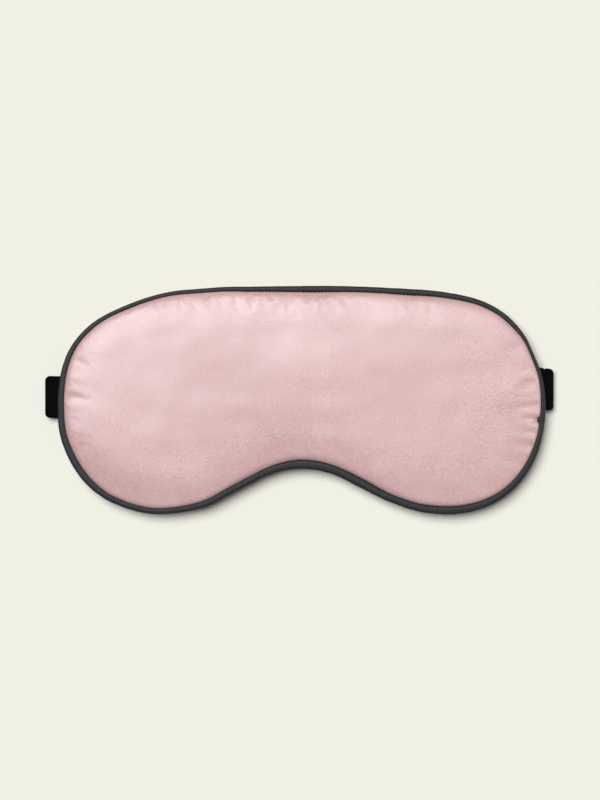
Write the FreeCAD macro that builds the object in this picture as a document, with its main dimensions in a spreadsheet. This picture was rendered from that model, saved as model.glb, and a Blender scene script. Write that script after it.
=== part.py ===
import FreeCAD, Part
import math
import os
import Sketcher

# A padded satin sleep mask, lying flat with its front face up and its adjustable elastic strap
# folded under it. X runs along the mask, Y towards the forehead and Z up from the surface that the
# mask lies on. The origin is the centre of the mask's footprint, and all sizes are millimetres.

SIZES = {
    # Outline of the mask at the outside of its piping: six tangent arcs from the middle of the top
    # edge to the bottom of the cheek lobe, a straight flank, and a hollow arc over the nose. An
    # arc ends where its outward normal points in the direction given, in degrees from +X.
    "top_height": 49.0,
    "top_radius": 830.0,
    "top_end": 86.5,
    "shoulder_radius": 80.0,
    "shoulder_end": 61.5,
    "temple_radius": 36.0,
    "temple_end": 25.0,
    "side_radius": 57.5,
    "side_end": -17.0,
    "cheek_radius": 41.8,
    "cheek_end": -90.0,
    "lobe_radius": 62.0,
    "flank_slope": 27.6,
    "nose_height": -29.7,
    # Piping: a cord in a folded strip of satin, whose two edges make the seam's flange.
    "piping_radius": 1.4,
    "cord_radius": 1.0,
    "satin": 0.35,
    "seam_z": 5.5,
    "flange_thickness": 0.5,
    "flange_inset": 8.0,
    # Crowned panels: the front rises from the seam, and the back swells down to the surface.
    "panel_inset": 2.9,
    "front_rim_z": 5.95,
    "front_top_z": 11.7,
    "back_rim_z": 5.2,
    "crown_width": 24.0,
    "layer_gap": 0.1,
    "filling_inset": 5.2,
    # Channel across the back that the folded strap lies in.
    "channel_width": 25.4,
    "channel_z": 4.4,
    # Strap: flat elastic, in two halves that telescope through the slider.
    "strap_y": 3.7,
    "strap_width": 18.0,
    "strap_thickness": 0.8,
    "strap_overhang": 4.7,
    "fold_top_z": 3.7,
    "end_sewn_z": 4.85,
    "end_run": 15.7,
    "end_rise_start": 7.9,
    "end_rise_end": 10.1,
    "lower_level": 0.95,
    "upper_level": 1.8,
    "fold_gap": 1.1,
    "side_length": 59.0,
    "side_rise_run": 9.0,
    "tail_reach": 84.0,
    # Slider: two low end bars under the sliding half, a raised centre bar in the sewn loop.
    "slider_x": 30.0,
    "slider_length": 14.0,
    "slider_bar": 2.0,
    "slider_bar_height": 0.9,
    "rail_width": 2.3,
    "rail_gap": 0.3,
    "hump_length": 6.4,
    "centre_bar_z": 2.65,
    "centre_bar_height": 0.7,
    "centre_bar_width": 2.4,
    "slider_corner": 2.0,
    "loop_gap": 0.05,
    "hem_slope_run": 2.8,
    "hem_length": 18.0,
    # Threads.
    "thread": 0.15,
    "stitch_length": 2.0,
    "stitch_pitch": 3.0,
    "seam_thread_inset": 4.5,
    "bartack_row_offset": 1.2,
    "hem_row_inset": 2.0,
    "hem_row_spacing": 3.0,
    "tail_row_inset": 2.0,
}

# Sections in each crowned panel, and how far a cutting solid reaches past what it cuts.
CROWN_STEPS = 6
CUT_MARGIN = 1.0

doc = FreeCAD.newDocument("SleepMask")
sheet = doc.addObject("Spreadsheet::Sheet", "Sizes")
for row, (name, value) in enumerate(SIZES.items(), start=1):
    sheet.set(f"A{row}", name)
    sheet.set(f"B{row}", str(value))
    sheet.setAlias(f"B{row}", name)
doc.recompute()


class Size:
    """A number from the spreadsheet, with the expression that gives it."""

    def __init__(self, value, text):
        self.value = value
        self.text = text

    def join(self, sign, other, result):
        text = other.text if isinstance(other, Size) else str(other)
        return Size(result, f"({self.text} {sign} {text})")

    def __add__(self, other):
        return self.join("+", other, self.value + number(other))

    def __sub__(self, other):
        return self.join("-", other, self.value - number(other))

    def __mul__(self, other):
        return self.join("*", other, self.value * number(other))

    def __truediv__(self, other):
        return self.join("/", other, self.value / number(other))


def number(size):
    return size.value if isinstance(size, Size) else size


def size(name):
    return Size(float(sheet.get(name)), f"Sizes.{name}")


def read(name):
    return float(sheet.get(name))


# ---------------------------------------------------------------- outline of the mask


def direction(degrees):
    return FreeCAD.Vector(math.cos(math.radians(degrees)), math.sin(math.radians(degrees)), 0)


def convex_arcs():
    """Centre, radius, first and last direction of each arc from the top to the lobe."""
    names = ("top", "shoulder", "temple", "side", "cheek")
    radii = [read(f"{name}_radius") for name in names] + [read("lobe_radius")]
    ends = [read(f"{name}_end") for name in names] + [-90 - read("flank_slope")]
    centre = FreeCAD.Vector(0, read("top_height") - radii[0], 0)
    first = 90
    arcs = []
    for radius, last, following in zip(radii, ends, radii[1:] + [0]):
        arcs.append((centre, radius, first, last))
        centre = centre + direction(last) * (radius - following)
        first = last
    return arcs


def nose_arc():
    """Centre and radius of the hollow arc that the straight flank runs into without a corner."""
    slope = math.radians(read("flank_slope"))
    centre, radius, _, last = convex_arcs()[-1]
    end = centre + direction(last) * radius
    rise_left = end.y + end.x * math.tan(slope) - read("nose_height")
    nose_radius = rise_left * math.cos(slope) / (1 - math.cos(slope))
    return FreeCAD.Vector(0, read("nose_height") - nose_radius, 0), nose_radius


def arc_edge(centre, radius, first, last):
    middle = (first + last) / 2
    points = [centre + direction(angle) * radius for angle in (first, middle, last)]
    return Part.Arc(*points).toShape()


def outline(inset, z):
    """Closed wire of the mask's outline, moved inwards by inset, at height z."""
    arcs = convex_arcs()
    top_centre, top_radius, _, top_last = arcs[0]
    nose_centre, nose_radius = nose_arc()
    nose_first = 90 - read("flank_slope")
    right = [arc_edge(c, radius - inset, first, last) for c, radius, first, last in arcs[1:]]
    nose = arc_edge(nose_centre, nose_radius + inset, nose_first, 180 - nose_first)
    flank = Part.LineSegment(right[-1].Vertexes[-1].Point, nose.Vertexes[0].Point).toShape()
    right.append(flank)
    left = [edge.mirror(FreeCAD.Vector(), FreeCAD.Vector(1, 0, 0)) for edge in reversed(right)]
    top = arc_edge(top_centre, top_radius - inset, 180 - top_last, top_last)
    wire = Part.Wire([top] + right + [nose] + left)
    wire.translate(FreeCAD.Vector(0, 0, z))
    return wire


def crown(inset, rim_z, top_z):
    """Solid cushion from a flat face at rim_z to a flat top, steep at the rim and level at last."""
    sections = []
    for step in range(CROWN_STEPS + 1):
        turn = math.radians(90 * step / CROWN_STEPS)
        further_in = (1 - math.cos(turn)) * read("crown_width")
        sections.append(outline(inset + further_in, rim_z + math.sin(turn) * (top_z - rim_z)))
    return Part.makeLoft(sections, True, True)


def plate(inset, low, high):
    """Flat plate inside an outline, from height low to height high."""
    return Part.Face(outline(inset, low)).extrude(FreeCAD.Vector(0, 0, high - low))


def ring(outer_inset, inner_inset, low, high):
    """Flat ring between two outlines, from height low to height high."""
    return plate(outer_inset, low, high).cut(plate(inner_inset, low, high))


def across_strap(width, low, high, first_x, last_x):
    """Box centred on the strap's line, between two heights and two places along X."""
    corner = FreeCAD.Vector(first_x, read("strap_y") - width / 2, low)
    return Part.makeBox(last_x - first_x, width, high - low, corner)


def channel_cut(wall):
    """The channel's space, made larger by a wall's thickness on its sides and roof."""
    reach = read("side_length") * 2
    width = read("channel_width") + 2 * wall
    return across_strap(width, -CUT_MARGIN, read("channel_z") + wall, -reach, reach)


def mask_half_length():
    centre, radius, _, _ = convex_arcs()[3]
    return centre.x + radius


def feature(name, shape):
    piece = doc.addObject("Part::Feature", name)
    piece.Label = name
    piece.Shape = shape
    piece.Placement = FreeCAD.Placement()
    return piece


# ---------------------------------------------------------------- soft layers


def front_panel():
    """Satin shell over the front filling, open at its rim."""
    wall = read("satin")
    outer = crown(read("panel_inset"), read("front_rim_z"), read("front_top_z"))
    below = read("front_rim_z") - wall
    inner = crown(read("panel_inset") + wall, below, read("front_top_z") - wall)
    return feature("front_panel", outer.cut(inner))


def strap_slots(extra):
    """Spaces at both ends of the back panel that the sewn strap ends lie in."""
    width = read("strap_width") + 2 * extra
    outer_x = mask_half_length()
    inner_x = outer_x + read("strap_overhang") - read("end_run") - extra
    low = read("fold_top_z") - read("strap_thickness") - CUT_MARGIN
    slot = across_strap(width, low, read("back_rim_z") + CUT_MARGIN, inner_x, outer_x)
    return slot.fuse(slot.mirror(FreeCAD.Vector(), FreeCAD.Vector(1, 0, 0)))


def back_panel():
    """Satin shell under the back filling, with the strap's channel and the two sewn slots."""
    wall = read("satin")
    outer = crown(read("panel_inset"), read("back_rim_z"), 0).cut(channel_cut(0))
    above = read("back_rim_z") + wall
    inner = crown(read("panel_inset") + wall, above, wall).cut(channel_cut(wall))
    return feature("back_panel", outer.cut(inner).cut(strap_slots(read("rail_gap"))))


def front_filling():
    """Soft wadding under the front panel."""
    lift = read("satin") + read("layer_gap")
    shape = crown(read("filling_inset"), read("front_rim_z"), read("front_top_z") - lift)
    room = crown(read("panel_inset") + lift, read("front_rim_z") - lift, read("front_top_z") - lift)
    return feature("front_filling", shape.common(room))


def back_filling():
    """Soft wadding in the back panel, with room for the channel."""
    lift = read("satin") + read("layer_gap")
    top = read("back_rim_z") - read("layer_gap") / 2
    shape = crown(read("filling_inset"), top, lift)
    room = crown(read("panel_inset") + lift, read("back_rim_z") + lift, lift)
    return feature("back_filling", shape.common(room).cut(channel_cut(lift)))


def blackout_liner():
    """Two plies of black lining between the fillings, inside the flange."""
    half = read("flange_thickness") / 2
    inset = read("flange_inset") + read("layer_gap")
    return feature("blackout_liner", plate(inset, read("seam_z") - half, read("seam_z") + half))


def piping_tube(radius):
    """Round bar of the given radius that follows the piping's centre line all the way round."""
    spine = outline(read("piping_radius"), read("seam_z"))
    start = spine.Vertexes[0].Point
    along = spine.Edges[0].tangentAt(spine.Edges[0].FirstParameter)
    section = Part.Wire(Part.Circle(start, along, radius).toShape())
    return Part.Wire(spine).makePipeShell([section], True, False)


def piping_cover():
    """Satin strip wrapped round the cord, with its two edges as the seam's flange."""
    half = read("flange_thickness") / 2
    inner_radius = read("piping_radius") - read("satin")
    flange_start = read("piping_radius") + inner_radius + read("layer_gap")
    flange = ring(flange_start, read("flange_inset"), read("seam_z") - half, read("seam_z") + half)
    skin = piping_tube(read("piping_radius")).fuse(flange)
    return feature("piping_cover", skin.cut(piping_tube(inner_radius)))


def piping_cord():
    return feature("piping_cord", piping_tube(read("cord_radius")))


def seam_thread():
    """Closing seam's thread, on top of the flange inside the mask."""
    inset = read("seam_thread_inset")
    low = read("seam_z") + read("flange_thickness") / 2
    return feature("seam_thread", ring(inset, inset + 2 * read("thread"), low, low + read("thread")))


# ---------------------------------------------------------------- sketched pieces


def new_body(name):
    body = doc.addObject("PartDesign::Body", name)
    body.Label = name
    return body


def new_sketch(body, name, plane, height=None):
    """Sketch on one of the body's origin planes, raised by height where one is given."""
    sketch = body.newObject("Sketcher::SketchObject", name)
    support = [item for item in body.Origin.OriginFeatures if item.Role == plane][0]
    sketch.AttachmentSupport = (support, [""])
    sketch.MapMode = "FlatFace"
    if height is not None:
        sketch.setExpression(".AttachmentOffset.Base.z", height.text)
    return sketch


def bind(sketch, kind, geometry, position, value):
    """Hold one coordinate of a point at a size from the spreadsheet."""
    row = sketch.addConstraint(
        Sketcher.Constraint(kind, -1, 1, geometry, position, number(value))
    )
    if isinstance(value, Size):
        sketch.setExpression(f"Constraints[{row}]", value.text)


def closed_profile(sketch, points, bends=()):
    """Closed profile through points; bends maps a side's index to its arc's centre and middle."""
    bends = dict(bends)
    places = [FreeCAD.Vector(number(x), number(y), 0) for x, y in points]
    first = sketch.GeometryCount
    for index, place in enumerate(places):
        following = places[(index + 1) % len(places)]
        if index in bends:
            middle = FreeCAD.Vector(number(bends[index][1]), (place.y + following.y) / 2, 0)
            sketch.addGeometry(Part.Arc(place, middle, following), False)
        else:
            sketch.addGeometry(Part.LineSegment(place, following), False)
    for index, (x, y) in enumerate(points):
        before = (index - 1) % len(points)
        start_of_side = start_position(sketch, first + index, places[index])
        end_of_last = 3 - start_position(sketch, first + before, places[before])
        sketch.addConstraint(
            Sketcher.Constraint("Coincident", first + before, end_of_last, first + index, start_of_side)
        )
        bind(sketch, "DistanceX", first + index, start_of_side, x)
        bind(sketch, "DistanceY", first + index, start_of_side, y)
    for index, (centre_x, _) in bends.items():
        bind(sketch, "DistanceX", first + index, 3, centre_x)


def start_position(sketch, geometry, place):
    """1 if the side's own first point is at place, or 2 if its last point is."""
    own_first = sketch.getPoint(geometry, 1)
    return 1 if own_first.distanceToPoint(place) < 1e-6 else 2


def rectangle(sketch, x_low, x_high, y_low, y_high):
    closed_profile(sketch, [(x_low, y_low), (x_high, y_low), (x_high, y_high), (x_low, y_high)])


def pad(body, sketch, length, symmetric):
    block = body.newObject("PartDesign::Pad", f"{sketch.Name}_pad")
    block.Profile = sketch
    block.SideType = "Symmetric" if symmetric else "One side"
    block.setExpression("Length", length.text)
    sketch.Visibility = False
    return block


def band(name, points, bends=()):
    """Piece of the strap: a side profile in X and Z, as wide as the strap."""
    body = new_body(name)
    sketch = new_sketch(body, f"{name}_profile", "XZ_Plane")
    closed_profile(sketch, points, bends)
    pad(body, sketch, size("strap_width"), True)
    body.setExpression(".Placement.Base.y", "Sizes.strap_y")
    return body


def overall_half_length():
    """Half of the whole length: the strap's folds stand out past the piping on both sides."""
    return mask_half_length() + read("strap_overhang")


def strap_end(side_name, side, reach):
    """Sewn end and fold: runs out under the piping, then turns down and back inwards."""
    thick = size("strap_thickness")
    top = size("fold_top_z")
    sewn = size("end_sewn_z")
    fold_x = (reach - top / 2) * side
    start_x = (reach - size("end_rise_start")) * side
    risen_x = (reach - size("end_rise_end")) * side
    inner_x = (reach - size("end_run")) * side
    points = [
        (fold_x, top),
        (start_x, top),
        (risen_x, sewn),
        (inner_x, sewn),
        (inner_x, sewn - thick),
        (risen_x, sewn - thick),
        (start_x, top - thick),
        (fold_x, top - thick),
        (fold_x, thick),
        (fold_x, thick * 0),
    ]
    inside = (reach - thick) * side
    outside = reach * side
    return band(f"strap_{side_name}_end", points, {7: (fold_x, inside), 9: (fold_x, outside)})


def strap_side(side_name, side, reach, level):
    """Run under the end of the mask, from the fold up to the level of its rear half."""
    thick = size("strap_thickness")
    hinge_x = reach - size("fold_top_z") / 2 - size("fold_gap") / 2
    outer_x = (hinge_x - size("fold_gap") / 2) * side
    risen_x = (hinge_x - size("fold_gap") / 2 - size("side_rise_run")) * side
    inner_x = (hinge_x - size("side_length") + size("fold_gap") / 2) * side
    points = [
        (outer_x, thick * 0),
        (risen_x, level),
        (inner_x, level),
        (inner_x, level + thick),
        (risen_x, level + thick),
        (outer_x, thick),
    ]
    return band(f"strap_{side_name}_side", points)


def rear_start(reach):
    return reach - size("fold_top_z") / 2 - size("fold_gap") - size("side_length")


def strap_left_rear(reach):
    """Left half behind the head, its inner end looped round the slider's centre bar."""
    thick = size("strap_thickness")
    low = size("upper_level")
    high = low + thick
    bar_low = size("centre_bar_z")
    hem_low = bar_low + size("centre_bar_height") + size("loop_gap")
    hem_high = hem_low + thick
    turn_x = size("slider_x") + size("centre_bar_width") / 2
    over_x = size("slider_x") - size("centre_bar_width") / 2 - size("loop_gap")
    down_x = over_x - size("hem_slope_run")
    end_x = size("slider_x") - size("hem_length")
    points = [
        (rear_start(reach) * -1, low),
        (turn_x, low),
        (turn_x, hem_high),
        (over_x, hem_high),
        (down_x, bar_low + thick),
        (end_x, bar_low + thick),
        (end_x, bar_low),
        (down_x, bar_low),
        (over_x, hem_low),
        (turn_x, hem_low),
        (turn_x, high),
        (rear_start(reach) * -1, high),
    ]
    inner = (hem_low - high) / 2
    bends = {1: (turn_x, turn_x + inner + thick), 9: (turn_x, turn_x + inner)}
    return band("strap_left_rear", points, bends)


def strap_right_rear(reach):
    """Right half behind the head, through the slider to its free tail."""
    low = size("lower_level")
    high = low + size("strap_thickness")
    first_x = size("tail_reach") * -1
    last_x = rear_start(reach)
    points = [(first_x, low), (last_x, low), (last_x, high), (first_x, high)]
    return band("strap_right_rear", points)


def strap_slider():
    """Moulded slider: a low frame of two rails and two end bars, humps and a raised centre bar."""
    body = new_body("strap_slider")
    half_x = size("slider_length") / 2
    window_y = size("strap_width") / 2 + size("rail_gap")
    half_y = window_y + size("rail_width")
    low_frame = new_sketch(body, "slider_frame", "XY_Plane")
    rectangle(low_frame, half_x * -1, half_x, half_y * -1, half_y)
    window_x = half_x - size("slider_bar")
    rectangle(low_frame, window_x * -1, window_x, window_y * -1, window_y)
    frame_pad = pad(body, low_frame, size("slider_bar_height"), False)
    corners = body.newObject("PartDesign::Fillet", "slider_corners")
    doc.recompute()
    corners.Base = (frame_pad, outer_upright_edges(frame_pad.Shape, half_y.value))
    corners.setExpression("Radius", "Sizes.slider_corner")
    humps = new_sketch(body, "slider_humps", "XY_Plane")
    half_hump = size("hump_length") / 2
    rectangle(humps, half_hump * -1, half_hump, window_y, half_y)
    rectangle(humps, half_hump * -1, half_hump, half_y * -1, window_y * -1)
    pad(body, humps, size("centre_bar_z") + size("centre_bar_height"), False)
    centre = new_sketch(body, "slider_centre", "XY_Plane", size("centre_bar_z"))
    half_bar = size("centre_bar_width") / 2
    rectangle(centre, half_bar * -1, half_bar, half_y * -1, half_y)
    pad(body, centre, size("centre_bar_height"), False)
    body.setExpression(".Placement.Base.x", "Sizes.slider_x")
    body.setExpression(".Placement.Base.y", "Sizes.strap_y")
    return body


def outer_upright_edges(shape, half_y):
    """Names of the four upright edges at the corners of the slider's outline."""
    names = []
    for index, edge in enumerate(shape.Edges, start=1):
        upright = abs(edge.tangentAt(edge.FirstParameter).z) > 0.99
        if upright and abs(edge.Vertexes[0].Point.y) > half_y - 0.01:
            names.append(f"Edge{index}")
    return names


# ---------------------------------------------------------------- threads


def stitch_row(name, rows, z, along_x):
    """Thread stitches on a face of the strap: rows are places along X, repeated across it."""
    thread = read("thread")
    length = read("stitch_length")
    pitch = read("stitch_pitch")
    count = int(read("strap_width") // pitch)
    start = read("strap_y") - (count - 1) * pitch / 2
    size_x, size_y = (length, 2 * thread) if along_x else (2 * thread, length)
    stitches = []
    for x in rows:
        for index in range(count):
            centre_y = start + index * pitch
            corner = FreeCAD.Vector(x - size_x / 2, centre_y - size_y / 2, z)
            stitches.append(Part.makeBox(size_x, size_y, thread, corner))
    return feature(name, Part.makeCompound(stitches))


def end_bartack(side_name, side):
    """Tight stitching under the sewn end of the strap, in two rows."""
    reach = overall_half_length()
    middle = reach - (read("end_rise_end") + read("end_run")) / 2
    z = read("end_sewn_z") - read("strap_thickness") - read("thread")
    offset = read("bartack_row_offset")
    rows = [side * (middle - offset), side * (middle + offset)]
    return stitch_row(f"bartack_{side_name}", rows, z, False)


def loop_stitching():
    """Two rows across the hem that close the loop round the slider."""
    end_x = read("slider_x") - read("hem_length")
    z = read("centre_bar_z") + read("strap_thickness")
    first_x = end_x + read("hem_row_inset")
    return stitch_row("slider_loop_stitching", [first_x, first_x + read("hem_row_spacing")], z, False)


def tail_stitching():
    """One row under the tip of the tail that stops it fraying."""
    z = read("lower_level") - read("thread")
    return stitch_row("tail_stitching", [read("tail_row_inset") - read("tail_reach")], z, True)


# ---------------------------------------------------------------- the whole mask

sheet_rows = len(SIZES)
sheet.set(f"A{sheet_rows + 1}", "overall_half_length")
sheet.set(f"B{sheet_rows + 1}", str(round(overall_half_length(), 4)))
sheet.setAlias(f"B{sheet_rows + 1}", "overall_half_length")
doc.recompute()
half_reach = size("overall_half_length")

pieces = [
    front_panel(),
    back_panel(),
    front_filling(),
    back_filling(),
    blackout_liner(),
    piping_cover(),
    piping_cord(),
    seam_thread(),
    strap_end("left", -1, half_reach),
    strap_end("right", 1, half_reach),
    strap_side("left", -1, half_reach, size("upper_level")),
    strap_side("right", 1, half_reach, size("lower_level")),
    strap_left_rear(half_reach),
    strap_right_rear(half_reach),
    strap_slider(),
    end_bartack("left", -1),
    end_bartack("right", 1),
    loop_stitching(),
    tail_stitching(),
]
doc.recompute()

for item in doc.Objects:
    if "Invalid" in item.State or "Error" in item.State:
        raise RuntimeError(f"{item.Name} failed: {item.State}")

os.makedirs("parts", exist_ok=True)
for piece in pieces:
    shape = piece.Shape
    if shape.isNull() or not shape.isValid():
        raise RuntimeError(f"{piece.Label} has no valid shape")
    shape.exportStep(f"parts/{piece.Label}.step")
    box = shape.BoundBox
    print(
        f"{piece.Label}: {len(shape.Solids)} solids, {shape.Volume:.1f} mm3, "
        f"X {box.XMin:.2f} {box.XMax:.2f}, Y {box.YMin:.2f} {box.YMax:.2f}, "
        f"Z {box.ZMin:.2f} {box.ZMax:.2f}"
    )
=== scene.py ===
import math

import bmesh
import bpy
import numpy as np
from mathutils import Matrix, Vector, noise
from mathutils.geometry import delaunay_2d_cdt


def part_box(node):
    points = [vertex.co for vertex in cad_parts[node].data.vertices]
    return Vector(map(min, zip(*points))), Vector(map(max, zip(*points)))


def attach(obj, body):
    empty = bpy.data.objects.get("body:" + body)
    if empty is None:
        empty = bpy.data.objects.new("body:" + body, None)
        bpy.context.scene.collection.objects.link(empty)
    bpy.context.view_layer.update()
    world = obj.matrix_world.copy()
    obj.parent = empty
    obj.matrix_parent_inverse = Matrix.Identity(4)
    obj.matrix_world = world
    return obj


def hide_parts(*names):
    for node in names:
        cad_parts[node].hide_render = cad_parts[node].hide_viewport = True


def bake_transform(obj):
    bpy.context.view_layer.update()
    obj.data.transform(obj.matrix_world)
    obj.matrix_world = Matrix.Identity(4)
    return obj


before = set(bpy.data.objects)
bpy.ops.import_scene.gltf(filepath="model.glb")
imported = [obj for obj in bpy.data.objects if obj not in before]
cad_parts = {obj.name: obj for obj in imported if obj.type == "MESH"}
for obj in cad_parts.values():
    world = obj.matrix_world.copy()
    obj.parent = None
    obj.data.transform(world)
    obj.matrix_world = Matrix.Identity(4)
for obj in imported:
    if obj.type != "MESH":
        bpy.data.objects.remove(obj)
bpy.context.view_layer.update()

# A padded satin sleep mask lying on its back, seen from straight above. Lengths in this file are
# millimetres, and MM turns them into metres where Blender takes them.
MM = 0.001

# ---- driving dimensions

# Half of the mask's outline, clockwise from the middle of the top edge: each arc's radius, and the
# direction in which its outward normal points where it ends, in degrees.
TOP_HEIGHT = 49.0
OUTLINE_ARCS = (
    (830.0, 86.5), (80.0, 61.5), (36.0, 25.0), (57.5, -17.0), (41.8, -90.0), (62.0, -117.6),
)
NOSE_HEIGHT = -29.7
OUTLINE_STEP = 0.5

# How far the sewn mask departs from that outline, outwards: distance along the half outline from
# the top middle, half width of the bump, and its height.
RIGHT_BUMPS = ((20, 18, 0.2), (80, 15, 1.45), (110, 6, -0.5), (176, 18, 0.5), (226, 7, -0.35))
LEFT_BUMPS = (
    (33, 8, 0.3), (78, 20, -1.05), (113, 12, 0.75), (145, 7, 0.45), (190, 11, -0.45), (225, 7, 0.55),
)

# Width of the piping that shows, at distances along each half outline from the top middle.
RIGHT_WIDTHS = (
    (0, 3.0), (60, 2.9), (92, 2.6), (108, 1.9), (118, 2.1), (142, 2.7), (165, 3.3), (200, 3.7),
    (225, 3.5), (250, 4.0), (272, 4.4),
)
LEFT_WIDTHS = (
    (0, 3.0), (20, 2.5), (55, 2.2), (80, 2.1), (100, 2.6), (120, 3.0), (165, 3.5), (190, 3.1),
    (205, 2.9), (230, 3.3), (250, 3.4), (272, 4.4),
)

# Half sizes of a rectangle that holds the whole outline.
FIELD_X = 110
FIELD_Y = 54

SEAM_Z = 5.5
PIPING_HALF_HEIGHT = 1.4
FRONT_RIM_Z = 6.35
BACK_RIM_Z = 5.0
STRAP_Y = 3.7
STRAP_WIDTH = 18.0
STRAP_THICKNESS = 0.8

# The fold at each end of the mask (-1 left, 1 right): the middle of its bend along X, and its Y.
FOLDS = {-1: (108.95, 1.3), 1: (106.85, 4.5)}


def smoothstep(value):
    clipped = np.clip(value, 0, 1)
    return clipped * clipped * (3 - 2 * clipped)


def travelled(path):
    """Distance from a path's first point to each of its points."""
    return np.concatenate([[0], np.cumsum(np.linalg.norm(np.diff(path, axis=0), axis=1))])


# ---- outline


def half_outline():
    """Points and outward normals of the right half of the outline, from top middle to nose."""
    points = []
    normals = []
    centre = np.array([0, TOP_HEIGHT - OUTLINE_ARCS[0][0]])
    first = 90.0
    following = [radius for radius, _ in OUTLINE_ARCS[1:]] + [0]
    for (radius, last), next_radius in zip(OUTLINE_ARCS, following):
        count = max(4, int(math.radians(abs(first - last)) * radius / OUTLINE_STEP))
        angles = np.radians(np.linspace(first, last, count, endpoint=False))
        outward = np.stack([np.cos(angles), np.sin(angles)], axis=1)
        points.extend(centre + outward * radius)
        normals.extend(outward)
        end = np.array([math.cos(math.radians(last)), math.sin(math.radians(last))])
        lobe_end = centre + end * radius
        centre = centre + end * (radius - next_radius)
        first = last
    slope = math.radians(-90 - first)
    rise = lobe_end[1] + lobe_end[0] * math.tan(slope) - NOSE_HEIGHT
    nose_radius = rise * math.cos(slope) / (1 - math.cos(slope))
    nose_centre = np.array([0, NOSE_HEIGHT - nose_radius])
    nose_end = nose_centre + nose_radius * np.array([math.sin(slope), math.cos(slope)])
    count = int(np.linalg.norm(nose_end - lobe_end) / OUTLINE_STEP)
    for share in np.linspace(0, 1, count, endpoint=False):
        points.append(lobe_end * (1 - share) + nose_end * share)
        normals.append(end)
    angles = np.linspace(slope, 0, int(slope * nose_radius / OUTLINE_STEP))
    for angle in angles:
        inward = np.array([math.sin(angle), math.cos(angle)])
        points.append(nose_centre + nose_radius * inward)
        normals.append(-inward)
    return np.array(points), np.array(normals)


def bumps(distance, table):
    return sum(height * np.exp(-(((distance - place) / width) ** 2)) for place, width, height in table)


def eased(distance, table):
    """Value between a table's rows, level at each row."""
    places = [place for place, _ in table]
    values = [value for _, value in table]
    result = np.full(len(distance), float(values[0]))
    for low, high, before, after in zip(places, places[1:], values, values[1:]):
        share = smoothstep((distance - low) / (high - low))
        inside = distance >= low
        result[inside] = (before + (after - before) * share)[inside]
    return result


class Outline:
    """The mask's sewn outline as a closed ring of points, clockwise from the top middle."""

    def __init__(self):
        points, normals = half_outline()
        distance = travelled(points)
        right = points + normals * bumps(distance, RIGHT_BUMPS)[:, None]
        left = points + normals * bumps(distance, LEFT_BUMPS)[:, None]
        left = (left * [-1, 1])[::-1][1:-1]
        self.point = np.concatenate([right, left])
        self.half_distance = np.concatenate([distance, distance[::-1][1:-1]])
        self.side = np.concatenate([np.ones(len(right)), -np.ones(len(left))])
        along = np.roll(self.point, -2, axis=0) - np.roll(self.point, 2, axis=0)
        along /= np.linalg.norm(along, axis=1)[:, None]
        self.normal = np.stack([-along[:, 1], along[:, 0]], axis=1)
        gaps = np.linalg.norm(np.roll(self.point, -1, axis=0) - self.point, axis=1)
        self.distance = np.concatenate([[0], np.cumsum(gaps)[:-1]])
        self.length = gaps.sum()
        right_width = eased(self.half_distance, RIGHT_WIDTHS)
        left_width = eased(self.half_distance, LEFT_WIDTHS)
        self.width = np.where(self.side > 0, right_width, left_width)
        self.count = len(self.point)

    def nearest(self, points):
        """For each point, the index of the nearest outline point, the distance to it, and how far
        outside the outline the point lies."""
        index = np.empty(len(points), int)
        gap = np.empty(len(points))
        for start in range(0, len(points), 2000):
            block = points[start : start + 2000]
            squares = ((block[:, None, :] - self.point[None, :, :]) ** 2).sum(2)
            index[start : start + 2000] = squares.argmin(1)
            gap[start : start + 2000] = np.sqrt(squares.min(1))
        beyond = ((points - self.point[index]) * self.normal[index]).sum(1)
        return index, gap, beyond


OUTLINE = Outline()


def membrane(step=3.0, rounds=1500):
    """Height of a blown-up film held at the outline, 1 at its highest, as a function of x and y."""
    xs = np.arange(-FIELD_X - 1, FIELD_X + 1.1, step)
    ys = np.arange(-FIELD_Y, FIELD_Y + 0.1, step)
    grid_x, grid_y = np.meshgrid(xs, ys, indexing="ij")
    flat = np.stack([grid_x.ravel(), grid_y.ravel()], axis=1)
    _, _, beyond = OUTLINE.nearest(flat)
    inside = (beyond < 0).reshape(grid_x.shape)
    height = np.zeros(grid_x.shape)
    for _ in range(rounds):
        around = sum(np.roll(height, shift, axis) for axis in (0, 1) for shift in (-1, 1))
        height = np.where(inside, around / 4 + 1, 0)
    height = np.sqrt(height / height.max())

    def at(points):
        place_x = (points[:, 0] - xs[0]) / step
        place_y = (points[:, 1] - ys[0]) / step
        low_x = np.clip(place_x.astype(int), 0, len(xs) - 2)
        low_y = np.clip(place_y.astype(int), 0, len(ys) - 2)
        share_x = place_x - low_x
        share_y = place_y - low_y
        near = height[low_x, low_y] * (1 - share_x) + height[low_x + 1, low_y] * share_x
        far = height[low_x, low_y + 1] * (1 - share_x) + height[low_x + 1, low_y + 1] * share_x
        return near * (1 - share_y) + far * share_y

    return at


DOME = membrane()

# ---- making meshes


def new_object(name, vertices, faces, material, smooth=True):
    mesh = bpy.data.meshes.new(name)
    mesh.from_pydata([tuple(v) for v in np.asarray(vertices) * MM], [], faces)
    mesh.update()
    piece = bpy.data.objects.new(name, mesh)
    bpy.context.collection.objects.link(piece)
    mesh.materials.append(material)
    if smooth:
        mesh.shade_smooth()
    return piece


def ring_faces(rings, around, closed=False):
    """Faces between rings of points; closed joins the last ring to the first."""
    faces = []
    for ring in range(rings if closed else rings - 1):
        a = ring * around
        b = (ring + 1) % rings * around
        for step in range(around):
            after = (step + 1) % around
            faces.append((a + step, b + step, b + after, a + after))
    return faces


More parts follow.
